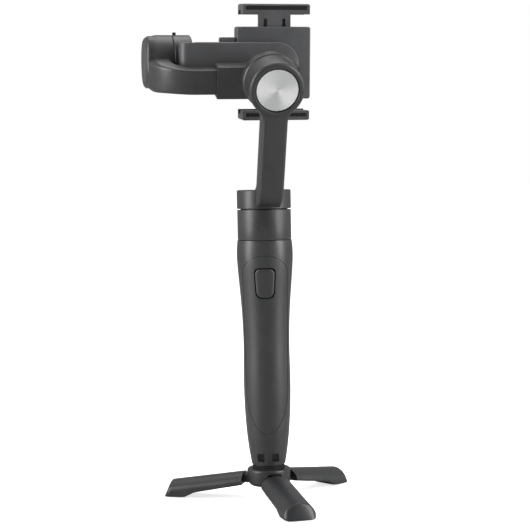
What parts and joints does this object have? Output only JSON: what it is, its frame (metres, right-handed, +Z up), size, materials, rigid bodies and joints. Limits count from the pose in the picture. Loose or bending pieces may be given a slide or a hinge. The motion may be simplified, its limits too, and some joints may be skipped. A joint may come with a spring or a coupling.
{
  "type": "phone gimbal stabilizer",
  "caption": "Handheld phone gimbal: telescopic grip with trigger and joystick, leaning pan arm, roll and tilt motors, sprung phone clamp, folding mini tripod.",
  "frame": {"origin": "the point on the floor where the pan axis meets it, in the middle of the feet", "axes": "+Z up along the pan axis; -Y towards the trigger and the phone's lens side; +X away from the tilt motor"},
  "size_m": [0.1481, 0.1279, 0.3481],
  "materials": {
    "shell_plastic": "satin moulded",
    "grip_plastic": "satin moulded, fine texture",
    "tripod_plastic": "satin moulded",
    "panel_plastic": "fine satin",
    "soft_rubber": "matt",
    "spun_metal": "spun",
    "black_metal": "black anodised",
    "steel": "bright",
    "motor_iron": "lacquered iron and wire",
    "brass": "turned",
    "cell_wrap": "shrink wrap",
    "board": "solder mask",
    "lamp_window": "clear moulded"
  },
  "bodies": {
    "grip": {"grip_shell": "shell_plastic", "front_cover": "grip_plastic", "control_panel": "panel_plastic", "trigger_switch": "panel_plastic", "thread_insert": "brass", "battery_cell": "cell_wrap", "pole_guide": "panel_plastic", "circuit_board": "board", "joystick_base": "panel_plastic", "status_lamp": "lamp_window", "usb_port": "steel", "tripod_hub": "tripod_plastic", "leg_pins": "steel", "seat_ring": "soft_rubber", "tripod_stud": "steel"},
    "leg_1": {"tripod_leg_1": "tripod_plastic", "foot_pad_1": "soft_rubber"},
    "leg_2": {"tripod_leg_2": "tripod_plastic", "foot_pad_2": "soft_rubber"},
    "leg_3": {"tripod_leg_3": "tripod_plastic", "foot_pad_3": "soft_rubber"},
    "trigger": {"trigger": "grip_plastic"},
    "joystick_yoke": {"joystick_yoke": "panel_plastic"},
    "joystick": {"joystick": "panel_plastic"},
    "shutter_button": {"shutter_button": "panel_plastic"},
    "mode_button": {"mode_button": "panel_plastic"},
    "zoom_slider": {"zoom_slider": "panel_plastic"},
    "pole_1": {"pole_tube_1": "black_metal"},
    "pole_2": {"pole_tube_2": "black_metal"},
    "head_post": {"pole_tube_3": "black_metal", "pan_motor_housing": "shell_plastic", "pan_stator": "motor_iron", "pan_bearing": "steel"},
    "pan_arm": {"pan_rotor": "motor_iron", "pan_arm": "shell_plastic", "arm_cover": "shell_plastic", "roll_stator": "motor_iron", "roll_bearing": "steel", "roll_disc": "spun_metal"},
    "roll_carrier": {"roll_rotor": "motor_iron", "balance_sleeve": "shell_plastic"},
    "balance_lock": {"balance_lock": "black_metal"},
    "tilt_arm": {"tilt_arm": "shell_plastic", "tilt_end_cap": "shell_plastic", "tilt_stator": "motor_iron", "tilt_bearing": "steel"},
    "phone_arm": {"tilt_rotor": "motor_iron", "tilt_cap": "shell_plastic", "index_nub": "black_metal", "phone_arm": "shell_plastic", "clamp_pivot": "steel"},
    "clamp": {"clamp_body": "shell_plastic", "clamp_back_plate": "shell_plastic", "back_pad": "soft_rubber", "clamp_latch": "shell_plastic", "lower_jaw": "shell_plastic", "lower_jaw_pad": "soft_rubber", "clamp_springs": "steel"},
    "upper_jaw": {"upper_jaw": "shell_plastic", "upper_jaw_pad": "soft_rubber"}
  },
  "joints": [
    {"name": "leg_1_fold", "type": "hinge", "parent": "grip", "child": "leg_1", "pos_m": [0.00102, -0.01145, 0.015], "axis": [0.996, 0.0889, 0], "range_deg": [0, 70]},
    {"name": "leg_2_fold", "type": "hinge", "parent": "grip", "child": "leg_2", "pos_m": [0.00941, 0.00661, 0.015], "axis": [-0.575, 0.8181, 0], "range_deg": [0, 70]},
    {"name": "leg_3_fold", "type": "hinge", "parent": "grip", "child": "leg_3", "pos_m": [-0.01043, 0.00484, 0.015], "axis": [-0.421, -0.907, 0], "range_deg": [0, 70]},
    {"name": "trigger_pull", "type": "slide", "parent": "grip", "child": "trigger", "axis": [0.2079, 0.9781, 0], "range_m": [0, 0.0014], "stiffness_N_per_m": 500, "springref_m": -0.0006},
    {"name": "joystick_up_down", "type": "hinge", "parent": "grip", "child": "joystick_yoke", "pos_m": [0.00302, 0.01423, 0.1508], "axis": [-0.9781, 0.2079, 0], "range_deg": [-12, 12], "stiffness_Nm_per_rad": 0.02},
    {"name": "joystick_left_right", "type": "hinge", "parent": "joystick_yoke", "child": "joystick", "pos_m": [0.00302, 0.01423, 0.1508], "axis": [0, 0, 1], "range_deg": [-12, 12], "stiffness_Nm_per_rad": 0.02},
    {"name": "shutter_press", "type": "slide", "parent": "grip", "child": "shutter_button", "axis": [-0.2079, -0.9781, 0], "range_m": [0, 0.0006], "stiffness_N_per_m": 800, "springref_m": -0.0003},
    {"name": "mode_press", "type": "slide", "parent": "grip", "child": "mode_button", "axis": [-0.2079, -0.9781, 0], "range_m": [0, 0.0006], "stiffness_N_per_m": 800, "springref_m": -0.0003},
    {"name": "zoom_slide", "type": "slide", "parent": "grip", "child": "zoom_slider", "axis": [0, 0, 1], "range_m": [-0.003, 0.003], "stiffness_N_per_m": 300},
    {"name": "pole_1_slide", "type": "slide", "parent": "grip", "child": "pole_1", "axis": [0, 0, 1], "range_m": [0, 0.06]},
    {"name": "pole_2_slide", "type": "slide", "parent": "pole_1", "child": "pole_2", "axis": [0, 0, 1], "range_m": [0, 0.06]},
    {"name": "pole_3_slide", "type": "slide", "parent": "pole_2", "child": "head_post", "axis": [0, 0, 1], "range_m": [0, 0.06]},
    {"name": "pan", "type": "hinge", "parent": "head_post", "child": "pan_arm", "pos_m": [0, 0, 0.2048], "axis": [0, 0, 1], "range_deg": [-160, 160]},
    {"name": "roll", "type": "hinge", "parent": "pan_arm", "child": "roll_carrier", "pos_m": [0, -0.054, 0.283], "axis": [0, 0.9397, 0.342], "range_deg": [-160, 160]},
    {"name": "lock_turn", "type": "hinge", "parent": "roll_carrier", "child": "balance_lock", "pos_m": [0.006, -0.01854, 0.28207], "axis": [0, -0.342, 0.9397], "range_deg": [-180, 180]},
    {"name": "balance_slide", "type": "slide", "parent": "roll_carrier", "child": "tilt_arm", "axis": [1, 0, 0], "range_m": [-0.006, 0.006]},
    {"name": "tilt", "type": "hinge", "parent": "tilt_arm", "child": "phone_arm", "pos_m": [-0.06, 0.01309, 0.30742], "axis": [1, 0, 0], "range_deg": [-26, 53]},
    {"name": "clamp_turn", "type": "hinge", "parent": "phone_arm", "child": "clamp", "pos_m": [0.0093, -0.00409, 0.30546], "axis": [0, 0.9936, 0.1132], "range_deg": [0, 90]},
    {"name": "jaw_slide", "type": "slide", "parent": "clamp", "child": "upper_jaw", "axis": [0, -0.1132, 0.9936], "range_m": [-0.005, 0.015], "stiffness_N_per_m": 200, "springref_m": -0.03, "deforming": ["clamp_springs"]}
  ]
}
